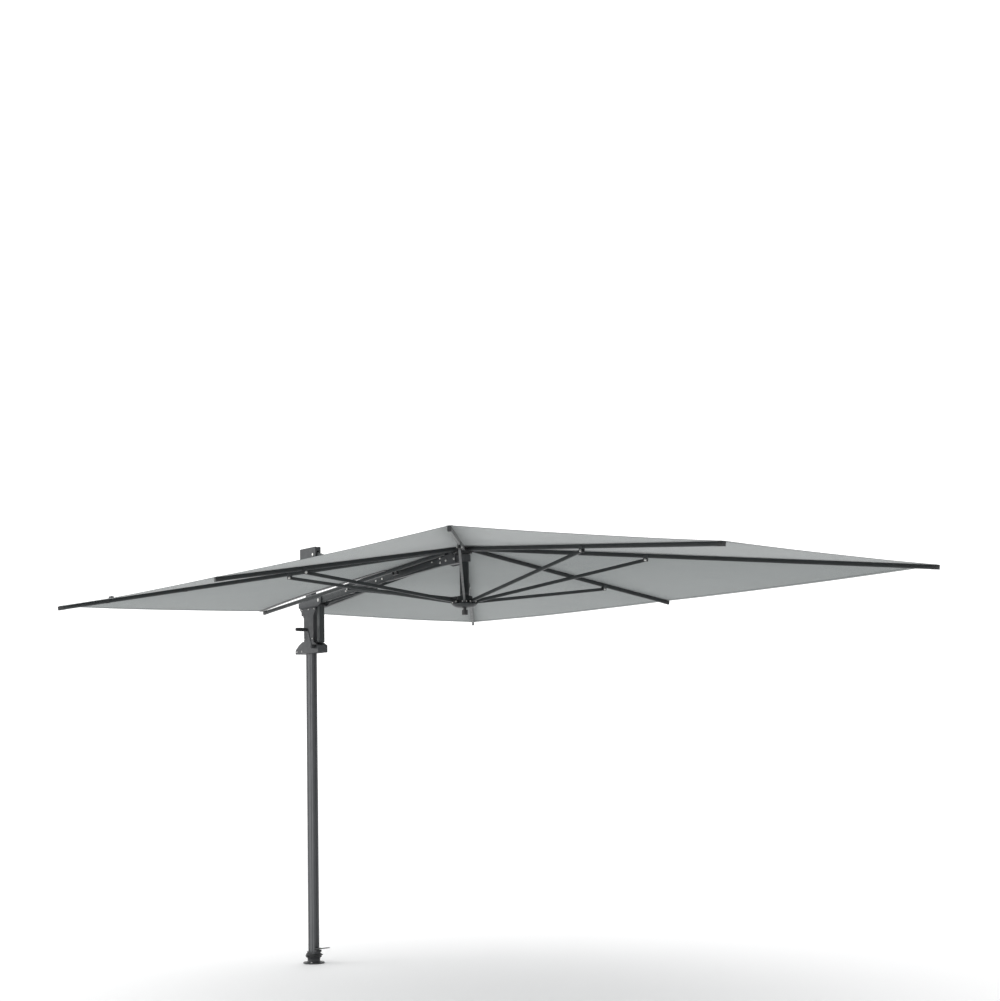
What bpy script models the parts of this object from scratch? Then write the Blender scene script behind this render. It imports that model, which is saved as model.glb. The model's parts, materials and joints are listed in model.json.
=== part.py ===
"""Cantilever parasol: rotating side mast, sliding carriage, lifting arm and a folding 4 x 3 m canopy.

Frame: origin at the centre of the mast's foot, +Z up, +X from the mast towards the canopy's hub.
"""
import bmesh
import bpy
from math import atan2, cos, hypot, pi, radians, sin
from mathutils import Matrix, Vector

# ---- Driving dimensions, in metres ----
CANOPY_LENGTH = 4.0
CANOPY_WIDTH = 3.0
HUB_X = 1.651
GAP = 0.0003                      # clearance between touching pieces

MAST_X, MAST_Y = 0.078, 0.040     # outside of the mast's section
MAST_WALL = 0.003
MAST_FOOT_Z, MAST_TOP_Z = 0.0703, 2.44
HEAD_TOP_Z = 2.562
HEAD_SLOT_TOP_Z = 2.5365            # top of the stay's slot in the head
SPIGOT_R = 0.016

CARRIAGE_Z = 1.90                 # underside of the carriage's base block
CRANK_AXIS = Vector((0.100, 0.0, 1.938))
CRANK_LENGTH = 0.114
CRANK_LEAN = radians(22)          # the crank's arm leans back from upright

ARM_ROOT = Vector((0.148, 0.0, 2.222))
ARM_TIP = Vector((1.472, 0.0, 2.340))
ARM_JOINT = Vector((0.800, 0.0, 2.280))     # where the stay meets the arm
STAY_TOP = Vector((0.062, 0.0, 2.515))
RAIL_IN, RAIL_OUT = 0.024, 0.030            # each rail's faces, from the middle plane
STAY_HALF = 0.008                           # half the stay's thickness
LINK_TIP = Vector((1.473, 0.0, 2.318))
LINK_END = Vector((0.870, 0.0, 2.281))

RIB_HEIGHT, RIB_WIDTH = 0.022, 0.014
STRUT_HEIGHT, STRUT_WIDTH = 0.018, 0.012
STRUT_REACH = 0.95                # along a rib, from its pivot to its strut's pivot
STRUT_DROP = 0.022                # from a rib's centre line down to its strut's pivot
PIVOT_Z = 2.374                   # rib pivots at the top hub
RUNNER_PIVOT = (0.065, 2.09)      # strut pivots at the lower hub: radius and height
MAST_RIB_PIVOT = (-0.110, 0.050, 2.364)     # from the hub's axis, for the pair beside the mast
MAST_RIB_TIP = (-2.0, 0.140, 2.175)
MAST_STRUT_X, MAST_STRUT_Z = -0.092, 2.11

TIP_Z_CORNER, TIP_Z_SIDE, TIP_Z_FRONT = 2.156, 2.141, 2.186
FABRIC_THICK = 0.0015
FABRIC_OVER_RIB = 0.0015          # from a rib's top face to the fabric
PEAK_RISE = 0.010                 # the fabric's peak above the line of the rib pivots
NEAR_RISE = 0.006                 # the fabric above the pivots of the pair beside the mast
SLOT_START = 0.66                 # from the hub's axis to the inner end of the fabric's slot
SLOT_HEM_Y = 0.150                # half the slot's width at the hem
SLOT_BOW = ((0.35, 0.020), (0.70, 0.030))   # along the slot, and out towards the rear corner
ROUND = 24                        # sides of a round piece

HALF_L, HALF_W = CANOPY_LENGTH / 2, CANOPY_WIDTH / 2


# ---- Scene, collections and materials ----
for old in list(bpy.data.objects):
    bpy.data.objects.remove(old, do_unlink=True)

part = bpy.data.collections.new("cantilever_parasol")
tools = bpy.data.collections.new("cutters")
bpy.context.scene.collection.children.link(part)
bpy.context.scene.collection.children.link(tools)


def paint(name, colour, roughness, metallic):
    """A Principled material in one colour."""
    mat = bpy.data.materials.new(name)
    mat.use_nodes = True
    shader = mat.node_tree.nodes["Principled BSDF"]
    shader.inputs["Base Color"].default_value = (*colour, 1.0)
    shader.inputs["Roughness"].default_value = roughness
    shader.inputs["Metallic"].default_value = metallic
    return mat


ANTHRACITE = paint("anthracite_paint", (0.045, 0.053, 0.053), 0.45, 0.4)
MAST_PAINT = paint("mast_paint", (0.060, 0.065, 0.068), 0.40, 0.5)
BLACK = paint("black_plastic", (0.015, 0.016, 0.017), 0.60, 0.0)
STEEL = paint("stainless_steel", (0.60, 0.60, 0.58), 0.30, 1.0)
FABRIC = paint("grey_green_fabric", (0.27, 0.31, 0.30), 0.90, 0.0)


# ---- Shape helpers ----
def place(obj, name, material, collection):
    """Names an object, gives it its material and files it in one collection."""
    for owner in list(obj.users_collection):
        owner.objects.unlink(obj)
    collection.objects.link(obj)
    obj.name = name
    obj.data.name = name
    obj.data.materials.clear()
    if material:
        obj.data.materials.append(material)
    if collection is tools:
        obj.hide_render = True
        obj.display_type = "WIRE"
    return obj


def bake(obj):
    """Turns a curve into a mesh at its place, with its caps welded on."""
    bpy.context.view_layer.update()
    graph = bpy.context.evaluated_depsgraph_get()
    mesh = bpy.data.meshes.new_from_object(obj.evaluated_get(graph))
    work = bmesh.new()
    work.from_mesh(mesh)
    bmesh.ops.remove_doubles(work, verts=work.verts, dist=1e-6)
    bmesh.ops.recalc_face_normals(work, faces=work.faces)
    work.to_mesh(mesh)
    work.free()
    solid = bpy.data.objects.new(obj.name, mesh)
    solid.matrix_world = obj.matrix_world.copy()
    bpy.context.scene.collection.objects.link(solid)
    bpy.data.objects.remove(obj, do_unlink=True)
    return solid


def box(name, low, high, material=None, collection=part):
    """A box between two opposite corners, with its origin at its middle."""
    low, high = Vector(low), Vector(high)
    bpy.ops.mesh.primitive_cube_add(size=1.0, location=(low + high) / 2)
    obj = bpy.context.object
    for vertex in obj.data.vertices:
        vertex.co = Vector((a * b for a, b in zip(vertex.co, high - low)))
    return place(obj, name, material, collection)


def rod(name, start, end, radius, material=None, collection=part, sides=ROUND):
    """A cylinder from one point to another."""
    start, end = Vector(start), Vector(end)
    bpy.ops.mesh.primitive_cylinder_add(vertices=sides, radius=radius, depth=(end - start).length,
                                        location=(start + end) / 2)
    obj = bpy.context.object
    obj.rotation_mode = "QUATERNION"
    obj.rotation_quaternion = (end - start).to_track_quat("Z", "Y")
    obj.data.shade_smooth()
    obj.data.set_sharp_from_angle(angle=radians(40))
    return place(obj, name, material, collection)


def plate(name, loops, thickness, matrix, material=None, collection=part):
    """A flat outline, with holes where there is more than one loop, in a solid of some thickness."""
    curve = bpy.data.curves.new(name, "CURVE")
    curve.dimensions = "2D"
    curve.fill_mode = "BOTH"
    curve.extrude = thickness / 2
    for loop in loops:
        spline = curve.splines.new("POLY")
        spline.points.add(len(loop) - 1)
        for point, (u, v) in zip(spline.points, loop):
            point.co = (u, v, 0.0, 1.0)
        spline.use_cyclic_u = True
    obj = bpy.data.objects.new(name, curve)
    obj.matrix_world = matrix
    bpy.context.scene.collection.objects.link(obj)
    return place(bake(obj), name, material, collection)


def side_plate(name, loops, y_low, y_high, material=None, collection=part):
    """A plate whose outline is given as X and Z, between two values of Y."""
    matrix = Matrix.Translation((0, (y_low + y_high) / 2, 0)) @ Matrix.Rotation(pi / 2, 4, "X")
    return plate(name, loops, y_high - y_low, matrix, material, collection)


def floor_plate(name, loops, z_low, z_high, material=None, collection=part):
    """A plate whose outline is given as X and Y, between two heights."""
    matrix = Matrix.Translation((0, 0, (z_low + z_high) / 2))
    return plate(name, loops, z_high - z_low, matrix, material, collection)


def circle(radius, centre=(0.0, 0.0), sides=ROUND):
    """Points of a circle."""
    turns = [2 * pi * i / sides for i in range(sides)]
    return [(centre[0] + radius * cos(t), centre[1] + radius * sin(t)) for t in turns]


def rounded_box(half_x, half_y, radius, steps=3):
    """Points of a rectangle with round corners, about the origin."""
    points = []
    for quarter, (sx, sy) in enumerate(((1, 1), (-1, 1), (-1, -1), (1, -1))):
        for i in range(steps + 1):
            turn = (quarter + i / steps) * pi / 2
            points.append((sx * (half_x - radius) + radius * cos(turn),
                           sy * (half_y - radius) + radius * sin(turn)))
    return points


def capsule(start, end, start_half, end_half, steps=8):
    """Outline in X and Z of a bar with round ends of two radii."""
    lean = atan2(end.z - start.z, end.x - start.x)
    ends = ((end, end_half, -pi / 2), (start, start_half, pi / 2))
    return [(at.x + half * cos(lean + first + pi * i / steps), at.z + half * sin(lean + first + pi * i / steps))
            for at, half, first in ends for i in range(steps + 1)]


def change(obj, operation, others):
    """Cuts other solids out of an object, or joins them to it."""
    for other in others:
        boolean = obj.modifiers.new(other.name, "BOOLEAN")
        boolean.operation = operation
        boolean.solver = "EXACT"
        boolean.object = other
        if other.name in part.objects:
            place(other, other.name, None, tools)


def cut(obj, *others):
    change(obj, "DIFFERENCE", others)


def join(obj, *others):
    change(obj, "UNION", others)


# ---- Foot: flange, spigot, collar and clamp ring ----
def make_base():
    flange = rod("base_flange", (0, 0, 0), (0, 0, 0.008), 0.065, ANTHRACITE, sides=32)
    for i in range(4):
        turn = pi / 4 + i * pi / 2
        x, y = 0.053 * cos(turn), 0.053 * sin(turn)
        cut(flange, rod("flange_hole_%d" % i, (x, y, -0.01), (x, y, 0.02), 0.005, None, tools, 12))
    rod("base_spigot", (0, 0, 0.008 + GAP), (0, 0, 0.300), SPIGOT_R, STEEL)
    bore = circle(SPIGOT_R + GAP)
    floor_plate("lower_collar", [circle(0.040, sides=32), bore], 0.0086, 0.035, ANTHRACITE)
    ring = floor_plate("clamp_ring", [circle(0.048, sides=32), bore], 0.0354, 0.060, BLACK)
    for side in (1, -1):
        join(ring, rod("wing_%d" % side, (0, side * 0.046, 0.043), (0, side * 0.046, 0.053), 0.013,
                       None, tools, 16))


# ---- Mast: tube, socket, pedal bracket and head ----
def make_mast():
    half_x, half_y = MAST_X / 2, MAST_Y / 2
    inner = rounded_box(half_x - MAST_WALL, half_y - MAST_WALL, 0.006)
    floor_plate("mast_tube", [rounded_box(half_x, half_y, 0.009), inner], MAST_FOOT_Z, MAST_TOP_Z - GAP,
                MAST_PAINT)
    floor_plate("foot_socket", [rounded_box(0.044, 0.026, 0.010), circle(SPIGOT_R + GAP)],
                0.0604, MAST_FOOT_Z - GAP, ANTHRACITE)
    box("pedal_bracket", (half_x + GAP, -0.018, 0.072), (0.062, 0.018, 0.0845), BLACK)
    outline = [(-0.100, 2.470), (-0.060, MAST_TOP_Z), (0.075, MAST_TOP_Z), (0.090, 2.455), (0.090, 2.558),
               (0.086, HEAD_TOP_Z), (-0.096, HEAD_TOP_Z), (-0.100, 2.558)]
    head = side_plate("mast_head", [outline], -0.0195, 0.0195, ANTHRACITE)
    slot_half = STAY_HALF + 0.001
    cut(head, box("stay_slot", (0.038, -slot_half, 2.40), (0.12, slot_half, HEAD_SLOT_TOP_Z), None, tools))
    cut(head, rod("head_pin_hole", (STAY_TOP.x, -0.03, STAY_TOP.z), (STAY_TOP.x, 0.03, STAY_TOP.z), 0.0053,
                  None, tools, 16))
    pin = rod("stay_pin", (STAY_TOP.x, -0.0225, STAY_TOP.z), (STAY_TOP.x, 0.0225, STAY_TOP.z), 0.005, STEEL,
              sides=16)
    for side in (1, -1):
        join(pin, rod("stay_pin_head_%d" % side, (STAY_TOP.x, side * 0.0198, STAY_TOP.z),
                      (STAY_TOP.x, side * 0.0235, STAY_TOP.z), 0.009, None, tools, 16))


def make_pedal():
    outline = [(0.040, 0.0890), (0.070, 0.0890), (0.165, 0.1035), (0.165, 0.1075), (0.068, 0.0960), (0.040, 0.0960)]
    side_plate("foot_pedal", [outline], -0.017, 0.017, BLACK)


# ---- Carriage: base block, housing, front column, yoke, liner, and the crank with its drum ----
def make_carriage():
    sleeve = (MAST_X / 2 + 0.0031, MAST_Y / 2 + 0.0031)
    floor_plate("glide_liner", [rounded_box(sleeve[0] - GAP, sleeve[1] - GAP, 0.011),
                                rounded_box(MAST_X / 2 + GAP, MAST_Y / 2 + GAP, 0.0085)], 1.905, 2.180, BLACK)
    outline = [(-0.139, CARRIAGE_Z), (0.138, CARRIAGE_Z), (0.138, 1.946), (0.100, 1.962), (0.072, 1.975),
               (-0.047, 1.975), (-0.095, 1.956), (-0.139, 1.922)]
    block = side_plate("carriage_base", [outline], -0.034, 0.034, ANTHRACITE)
    hole = floor_plate("mast_hole", [rounded_box(*sleeve, 0.011)], 1.8, 2.3, None, tools)
    cut(block, hole)
    cut(block, box("drum_pocket", (0.080, -0.024, 1.88), (0.120, 0.024, 1.9555), None, tools))
    axis = CRANK_AXIS
    cut(block, rod("shaft_hole", (axis.x, -0.05, axis.z), (axis.x, -0.02, axis.z), 0.0064, None, tools, 16))
    outline = [(-0.046, 1.9753), (0.070, 1.9753), (0.070, 2.130), (0.0975, 2.165), (0.0975, 2.1855),
               (-0.0925, 2.1855), (-0.0925, 2.175), (-0.046, 2.120)]
    cut(side_plate("carriage_housing", [outline], -0.026, 0.026, ANTHRACITE), hole)
    box("front_column", (0.0985, -0.018, 1.9634), (0.134, 0.018, 2.1855), ANTHRACITE)
    outline = [(-0.0925, 2.1858), (0.137, 2.1858), (0.180, 2.205), (0.180, 2.245), (-0.072, 2.245),
               (-0.0925, 2.228)]
    yoke = side_plate("arm_yoke", [outline], -0.0365, 0.0365, ANTHRACITE)
    cut(yoke, box("arm_slot", (0.110, -0.0307, 2.197), (0.22, 0.0307, 2.30), None, tools))
    cut(yoke, box("under_arm_slot", (0.1372, -0.0307, 2.10), (0.22, 0.0307, 2.30), None, tools))
    cut(yoke, floor_plate("mast_way", [rounded_box(MAST_X / 2 + 0.001, MAST_Y / 2 + 0.001, 0.009)], 2.1, 2.3,
                          None, tools))


def make_crank():
    axis = CRANK_AXIS
    drum = rod("cord_drum", (axis.x, -0.0235, axis.z), (axis.x, 0.0235, axis.z), 0.0145, BLACK)
    join(drum, rod("crank_shaft", (axis.x, -0.0342, axis.z), (axis.x, -0.020, axis.z), 0.006, None, tools, 16))
    end = axis + CRANK_LENGTH * Vector((-sin(CRANK_LEAN), 0, cos(CRANK_LEAN)))
    arm = side_plate("crank_arm", [capsule(axis, end, 0.013, 0.010)], -0.065, -0.058, ANTHRACITE)
    join(arm, rod("crank_boss", (axis.x, -0.060, axis.z), (axis.x, -0.0345, axis.z), 0.012, None, tools))
    rod("crank_knob", (end.x, -0.0653, end.z), (end.x, -0.142, end.z), 0.0115, BLACK)


# ---- Stay, arm and levelling link ----
def on_arm(distance, rise=0.0):
    """A point along the arm from its root pivot, raised across it."""
    along = (ARM_TIP - ARM_ROOT).normalized()
    return ARM_ROOT + distance * along + rise * Vector((-along.z, 0, along.x))


def make_stay():
    bar = side_plate("stay_bar", [capsule(STAY_TOP, ARM_JOINT, 0.020, 0.018)], -STAY_HALF, STAY_HALF, ANTHRACITE)
    cut(bar, rod("stay_pin_hole", (STAY_TOP.x, -0.03, STAY_TOP.z), (STAY_TOP.x, 0.03, STAY_TOP.z), 0.0053,
                 None, tools, 16))
    join(bar, rod("stay_bush", (ARM_JOINT.x, -0.0225, ARM_JOINT.z), (ARM_JOINT.x, 0.0225, ARM_JOINT.z), 0.012,
                  None, tools, 16))


def rail_outline():
    """A rail's side view: deepest at the stay's joint, with round ends."""
    length = (ARM_TIP - ARM_ROOT).length
    root_half, middle_half, tip_half, middle, taper = 0.0215, 0.024, 0.0195, 0.65, 0.95
    lean = atan2(ARM_TIP.z - ARM_ROOT.z, ARM_TIP.x - ARM_ROOT.x)
    points = [(on_arm(middle, -middle_half)), on_arm(taper, -tip_half)]
    points += [ARM_TIP + tip_half * Vector((cos(lean + a), 0, sin(lean + a)))
               for a in [-pi / 2 + pi * i / 8 for i in range(9)]]
    points += [on_arm(taper, tip_half), on_arm(middle, middle_half)]
    points += [ARM_ROOT + root_half * Vector((cos(lean + a), 0, sin(lean + a)))
               for a in [pi / 2 + pi * i / 8 for i in range(9)]]
    assert length > taper
    return [(p.x, p.z) for p in points]


def make_arm():
    for name, side in (("arm_rail_left", 1), ("arm_rail_right", -1)):
        low, high = sorted((side * RAIL_IN, side * RAIL_OUT))
        side_plate(name, [rail_outline()], low, high, ANTHRACITE)
    inside = RAIL_IN - GAP
    for name, distance, rise, radius in (("arm_root_spacer", 0.055, 0.0, 0.011), ("arm_tip_spacer", 1.24, 0.009, 0.007)):
        at = on_arm(distance, rise)
        rod(name, (at.x, -inside, at.z), (at.x, inside, at.z), radius, STEEL, sides=16)
    middle = on_arm(0.318)
    box("arm_cross_box", (middle.x - 0.035, -inside, middle.z - 0.014), (middle.x + 0.035, inside, middle.z + 0.014),
        ANTHRACITE)
    side_plate("levelling_link", [capsule(LINK_TIP, LINK_END, 0.012, 0.012)], -0.011, 0.011, ANTHRACITE)


# ---- Hub: bracket cheeks, block, tube, top hub and cap ----
def make_hub():
    x = HUB_X
    outline = [(x - 0.200, 2.318), (x - 0.150, 2.298), (x - 0.033, 2.302), (x - 0.033, 2.351), (x - 0.052, 2.351),
               (x - 0.060, 2.362), (x - 0.092, 2.362), (x - 0.098, 2.370), (x - 0.124, 2.370), (x - 0.138, 2.3625), (x - 0.190, 2.3595), (x - 0.203, 2.343)]
    for name, side in (("hub_cheek_left", 1), ("hub_cheek_right", -1)):
        low, high = sorted((side * 0.0307, side * 0.0367))
        cheek = side_plate(name, [outline], low, high, ANTHRACITE)
        pivot = Vector((x + MAST_RIB_PIVOT[0], 0, MAST_RIB_PIVOT[2]))
        join(cheek, rod(name + "_boss", (pivot.x, side * 0.033, pivot.z), (pivot.x, side * 0.0425, pivot.z), 0.0055,
                        None, tools, 12))
    block = box("hub_block", (x - 0.146, -0.0304, 2.304), (x - 0.020, 0.0304, 2.350), ANTHRACITE)
    join(block, rod("hub_ring", (x, 0, 2.308), (x, 0, 2.346), 0.036, None, tools))
    cut(block, rod("hub_bore", (x, 0, 2.2), (x, 0, 2.4), 0.0253, None, tools))
    rod("hub_tube", (x, 0, 2.0605), (x, 0, 2.3515), 0.025, ANTHRACITE)
    top = rod("top_hub", (x, 0, 2.3518), (x, 0, 2.3835), 0.045, BLACK)
    for name, angle, pivot_radius in radial_ribs():
        for side in (1, -1):
            lug = box("lug", (0.040, -0.0016, 2.3635), (pivot_radius + 0.008, 0.0016, 2.3825), None, tools)
            middle = lug.location.copy()
            turn = Matrix.Translation((x, 0, 0)) @ Matrix.Rotation(angle, 4, "Z")
            lug.matrix_world = turn @ Matrix.Translation(middle + Vector((0, side * 0.0092, 0)))
            join(top, lug)
    cap_z = PIVOT_Z + RIB_HEIGHT / 2 + FABRIC_OVER_RIB + PEAK_RISE + FABRIC_THICK + GAP
    rod("top_cap", (x, 0, cap_z), (x, 0, cap_z + 0.010), 0.032, BLACK)


# ---- Lower hub: the runner that carries the struts ----
def make_runner():
    x = HUB_X
    runner = rod("lower_hub", (x, 0, 2.054), (x, 0, 2.0785), 0.068, BLACK, sides=32)
    join(runner, rod("runner_boss", (x, 0, 2.060), (x, 0, 2.119), 0.043, None, tools))
    cut(runner, rod("runner_bore", (x, 0, 2.0585), (x, 0, 2.2), 0.0256, None, tools))
    for name, angle, _ in radial_ribs():
        for side in (1, -1):
            lug = box("strut_lug", (0.041, -0.0014, 2.075), (0.072, 0.0014, 2.0965), None, tools)
            middle = lug.location.copy()
            turn = Matrix.Translation((x, 0, 0)) @ Matrix.Rotation(angle, 4, "Z")
            lug.matrix_world = turn @ Matrix.Translation(middle + Vector((0, side * 0.0079, 0)))
            join(runner, lug)
    block = box("strut_block", (x - 0.102, -0.028, 2.0990), (x - 0.0436, 0.028, 2.1215), ANTHRACITE)
    cross = x + MAST_STRUT_X
    join(block, rod("strut_cross_pin", (cross, -0.0425, MAST_STRUT_Z), (cross, 0.0425, MAST_STRUT_Z), 0.006,
                    None, tools, 16))
    box("pull_knob", (x - 0.011, -0.011, 2.018), (x + 0.011, 0.011, 2.0537), BLACK)


# ---- Ribs and struts ----
def radial_ribs():
    """Name, direction about the hub and pivot radius of each rib that starts at the top hub."""
    corner = atan2(HALF_W, HALF_L)
    return [("front", 0.0, 0.060), ("front_left", corner, 0.060), ("left", pi / 2, 0.060),
            ("rear_left", pi - corner, 0.085), ("rear_right", corner - pi, 0.085), ("right", -pi / 2, 0.060),
            ("front_right", -corner, 0.060)]


def rib_lines():
    """Name, pivot, tip and strut's lower pivot of every rib, all on the rib's centre line or below it."""
    axis = Vector((HUB_X, 0, 0))
    tips = {"front": (HALF_L, TIP_Z_FRONT), "left": (HALF_W, TIP_Z_SIDE), "right": (HALF_W, TIP_Z_SIDE)}
    for name, angle, start in radial_ribs():
        out = Vector((cos(angle), sin(angle), 0))
        reach, tip_z = tips.get(name, (hypot(HALF_L, HALF_W), TIP_Z_CORNER))
        yield (name, axis + start * out + Vector((0, 0, PIVOT_Z)), axis + reach * out + Vector((0, 0, tip_z)),
               axis + RUNNER_PIVOT[0] * out + Vector((0, 0, RUNNER_PIVOT[1])))
    for name, side in (("mast_left", 1), ("mast_right", -1)):
        pivot = axis + Vector((MAST_RIB_PIVOT[0], side * MAST_RIB_PIVOT[1], MAST_RIB_PIVOT[2]))
        tip = axis + Vector((MAST_RIB_TIP[0], side * MAST_RIB_TIP[1], MAST_RIB_TIP[2]))
        flat = Vector((tip.x - pivot.x, tip.y - pivot.y, 0)).normalized()
        back = (HUB_X + MAST_STRUT_X - pivot.x) / flat.x
        lower = pivot + back * flat
        lower.z = MAST_STRUT_Z
        yield name, pivot, tip, lower


def beam(name, start, end, height, width, before, after, material, collection=part):
    """A straight bar with its long axis from start to end, upright in section, run past both points."""
    along = (end - start).normalized()
    across = Vector((0, 0, 1)).cross(along).normalized()
    frame = Matrix((along, across, along.cross(across))).transposed().to_4x4()
    length = (end - start).length
    obj = box(name, (-before, -width / 2, -height / 2), (length + after, width / 2, height / 2), material, collection)
    obj.matrix_world = Matrix.Translation(start) @ frame @ Matrix.Translation(obj.location)
    return obj


def make_ribs():
    for name, pivot, tip, lower in rib_lines():
        rib = beam("rib_" + name, pivot, tip, RIB_HEIGHT, RIB_WIDTH, 0.005, -0.002, ANTHRACITE)
        along = (tip - pivot).normalized()
        across = Vector((0, 0, 1)).cross(along).normalized()
        down = -along.cross(across)
        upper = pivot + STRUT_REACH * along + STRUT_DROP * down
        for side in (1, -1):
            centre = pivot + STRUT_REACH * along + side * 0.0082 * across
            lug = beam("rib_lug_%d" % side, centre - 0.012 * along, centre + 0.012 * along, 0.0335, 0.0030, 0, 0,
                       None, tools)
            lug.matrix_world = Matrix.Translation(0.0135 * down) @ lug.matrix_world
            join(rib, lug)
        beam("strut_" + name, lower, upper, STRUT_HEIGHT, STRUT_WIDTH, 0.004, 0.004, ANTHRACITE)


# ---- Canopy: one closed solid with the fabric's outline and its slot for the mast ----
def make_canopy():
    lift = RIB_HEIGHT / 2 + FABRIC_OVER_RIB
    tip_x, tip_y, tip_z = MAST_RIB_TIP
    slot_ratio = (SLOT_START + MAST_RIB_PIVOT[0]) / (-tip_x + MAST_RIB_PIVOT[0])
    slot_y = MAST_RIB_PIVOT[1] + slot_ratio * (tip_y - MAST_RIB_PIVOT[1])
    slot_z = MAST_RIB_PIVOT[2] + slot_ratio * (tip_z - MAST_RIB_PIVOT[2])
    work = bmesh.new()

    def point(x, y, z):
        return work.verts.new((HUB_X + x, y, z + lift))

    top = point(0, 0, PIVOT_Z + PEAK_RISE)
    front = point(HALF_L, 0, TIP_Z_FRONT)
    ends = []
    for side in (1, -1):
        corner = point(HALF_L, side * HALF_W, TIP_Z_CORNER)
        middle = point(0, side * HALF_W, TIP_Z_SIDE)
        rear = point(-HALF_L, side * HALF_W, TIP_Z_CORNER)
        hem = point(-HALF_L, side * SLOT_HEM_Y, tip_z)
        slot = point(-SLOT_START, side * slot_y, slot_z)
        near = point(MAST_RIB_PIVOT[0], side * MAST_RIB_PIVOT[1], MAST_RIB_PIVOT[2] + NEAR_RISE)
        edge = [slot]
        for along, out in SLOT_BOW:
            edge.append(work.verts.new(slot.co.lerp(hem.co, along).lerp(rear.co, out)))
        edge.append(hem)
        ring = [front, corner, middle, rear]
        faces = [(top, a, b) for a, b in zip(ring, ring[1:])] + [(top, rear, near), (near, rear, slot)]
        faces += [(a, rear, b) for a, b in zip(edge, edge[1:])]
        for face in faces:
            work.faces.new(face if side == 1 else face[::-1])
        ends.append((near, slot))
    (near_l, slot_l), (near_r, slot_r) = ends
    work.faces.new((top, near_l, near_r))
    work.faces.new((near_l, slot_l, slot_r, near_r))
    bmesh.ops.recalc_face_normals(work, faces=work.faces)
    mesh = bpy.data.meshes.new("canopy")
    if sum(f.normal.z for f in work.faces) < 0:
        bmesh.ops.reverse_faces(work, faces=work.faces)
    work.to_mesh(mesh)
    work.free()
    cloth = bpy.data.objects.new("canopy", mesh)
    bpy.context.scene.collection.objects.link(cloth)
    place(cloth, "canopy", FABRIC, part)
    thick = cloth.modifiers.new("thickness", "SOLIDIFY")
    thick.thickness = FABRIC_THICK
    thick.offset = 1.0


make_base()
make_mast()
make_pedal()
make_carriage()
make_crank()
make_stay()
make_arm()
make_hub()
make_runner()
make_ribs()
make_canopy()
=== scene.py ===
"""Looks of the cantilever parasol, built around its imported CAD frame."""
import json
import math

import bmesh
import bpy
from mathutils import Matrix, Vector, noise


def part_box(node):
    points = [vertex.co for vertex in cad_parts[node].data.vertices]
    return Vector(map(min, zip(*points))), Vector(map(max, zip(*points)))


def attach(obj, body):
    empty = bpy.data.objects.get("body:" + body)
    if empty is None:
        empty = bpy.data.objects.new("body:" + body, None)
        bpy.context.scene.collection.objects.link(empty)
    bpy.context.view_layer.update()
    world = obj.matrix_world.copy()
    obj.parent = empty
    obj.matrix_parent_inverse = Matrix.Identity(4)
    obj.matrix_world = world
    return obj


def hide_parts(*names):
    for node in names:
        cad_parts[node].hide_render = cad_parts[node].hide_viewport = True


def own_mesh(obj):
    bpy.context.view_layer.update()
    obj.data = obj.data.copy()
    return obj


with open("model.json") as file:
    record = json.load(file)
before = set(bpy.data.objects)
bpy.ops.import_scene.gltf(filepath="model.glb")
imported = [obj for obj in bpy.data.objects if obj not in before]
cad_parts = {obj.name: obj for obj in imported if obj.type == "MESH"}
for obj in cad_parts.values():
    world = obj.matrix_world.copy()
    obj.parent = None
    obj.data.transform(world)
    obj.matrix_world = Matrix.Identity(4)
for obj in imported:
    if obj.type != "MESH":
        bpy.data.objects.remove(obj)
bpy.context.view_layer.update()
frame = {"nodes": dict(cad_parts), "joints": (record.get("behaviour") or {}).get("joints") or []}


# ---- Places, all from the frame: origin at the mast's foot, +X to the hub, +Z up ----
def box_of(node):
    """Lowest and highest corner of a CAD node."""
    low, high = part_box(node)
    return Vector(low), Vector(high)


def joint(name):
    """A joint's point and axis in the frame."""
    found = next(j for j in frame["joints"] if j["name"] == name)
    return Vector(found.get("pos_m", (0, 0, 0))), Vector(found["axis"])


TUBE_LOW, TUBE_HIGH = box_of("hub_tube")
HUB = Vector(((TUBE_LOW.x + TUBE_HIGH.x) / 2, 0, 0))
ARM_ROOT = joint("arm_pivot")[0]
ARM_TIP = joint("hub_levelling")[0]
STAY_TOP = joint("stay_pivot")[0]
ARM_JOINT = Vector((0.800, 0, 2.280))       # the stay's bush between the arm's rails
LINK_TIP = Vector((1.473, 0, 2.318))
LINK_END = Vector((0.870, 0, 2.281))
CHEEK_IN, CHEEK_OUT = 0.0307, 0.0365        # faces of the hub's cheeks, from the middle plane
HALF_L, HALF_W = 2.0, 1.5                   # half the canopy's length and width
RIB_NAMES = ["front", "front_left", "left", "rear_left", "mast_left", "mast_right", "rear_right", "right",
             "front_right"]
RIB_HEIGHT, RIB_WIDTH = 0.022, 0.014
STRUT_HEIGHT, STRUT_WIDTH = 0.018, 0.012
STRUT_REACH, STRUT_DROP = 0.95, 0.022       # a strut's pivot: along its rib, and below it
TIP_Z = {"front": 2.186, "left": 2.141, "right": 2.141}
CORNER_Z, PIVOT_Z = 2.156, 2.374
MAST_RIB = (Vector((-0.110, 0.050, 2.364)), Vector((-2.0, 0.140, 2.175)))
MAST_STRUT = Vector((-0.092, 0, 2.11))
RUNNER_PIVOT = (0.065, 2.09)


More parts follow.
